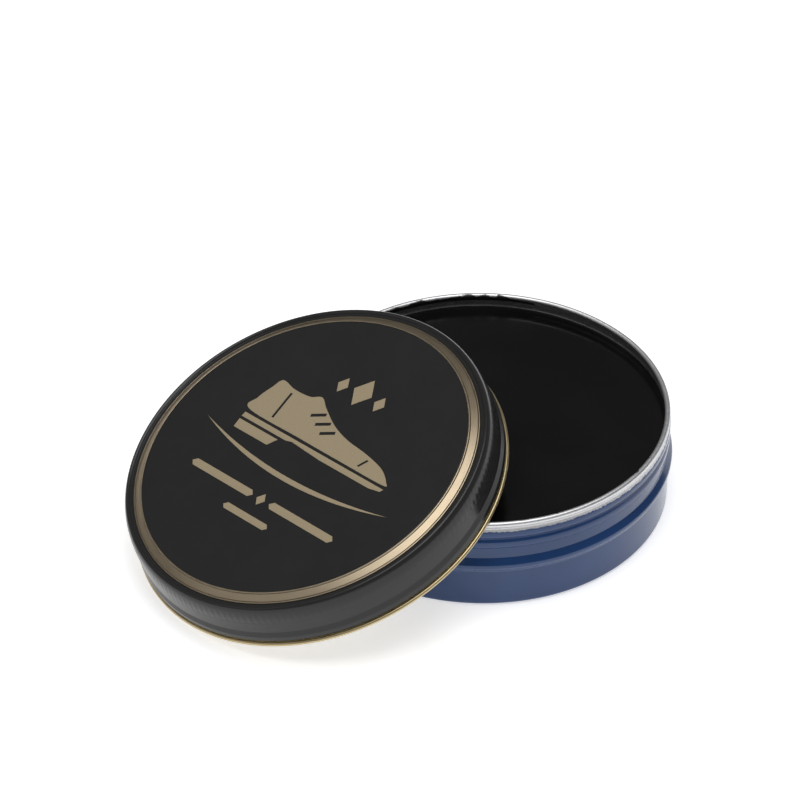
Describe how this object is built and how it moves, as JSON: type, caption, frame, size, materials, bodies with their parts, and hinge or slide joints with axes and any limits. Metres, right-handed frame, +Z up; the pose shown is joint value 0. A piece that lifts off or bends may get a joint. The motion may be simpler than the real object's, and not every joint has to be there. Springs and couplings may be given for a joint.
{
  "type": "shoe polish tin",
  "caption": "Open round metal tin of dark wax polish with a ringed neck, and its push-on lid with a raised panel leaning on the rim.",
  "frame": {"origin": "centre of the tin's standing ring on its underside, on the plane the object stands on", "axes": "+Z up along the tin's axis; -X towards the lid's low side, which rests on the same plane; the lid leans in the XZ plane"},
  "size_m": [0.1001, 0.0682, 0.0322],
  "materials": {
    "pan_metal": "blue lacquer on aluminium, bare rolled rim and inside",
    "polish_wax": "glossy dark wax",
    "label_paper": "matte",
    "lid_enamel": "satin black enamel, gold-lacquered bevel, rolled edge and inside",
    "liner_card": "matte"
  },
  "bodies": {
    "tin": {"pan": "pan_metal", "polish": "polish_wax", "base_label": "label_paper"},
    "liner": {"lid_liner": "liner_card"},
    "lid": {"lid_shell": "lid_enamel"}
  },
  "joints": [
    {"name": "lid_lift", "type": "slide", "parent": "tin", "child": "liner", "axis": [0, 0, 1], "range_m": [0, 0.04]},
    {"name": "lid_turn", "type": "hinge", "parent": "liner", "child": "lid", "pos_m": [-0.0323, 0, 0.01234], "axis": [-0.3537, 0, 0.9354], "continuous": true}
  ]
}
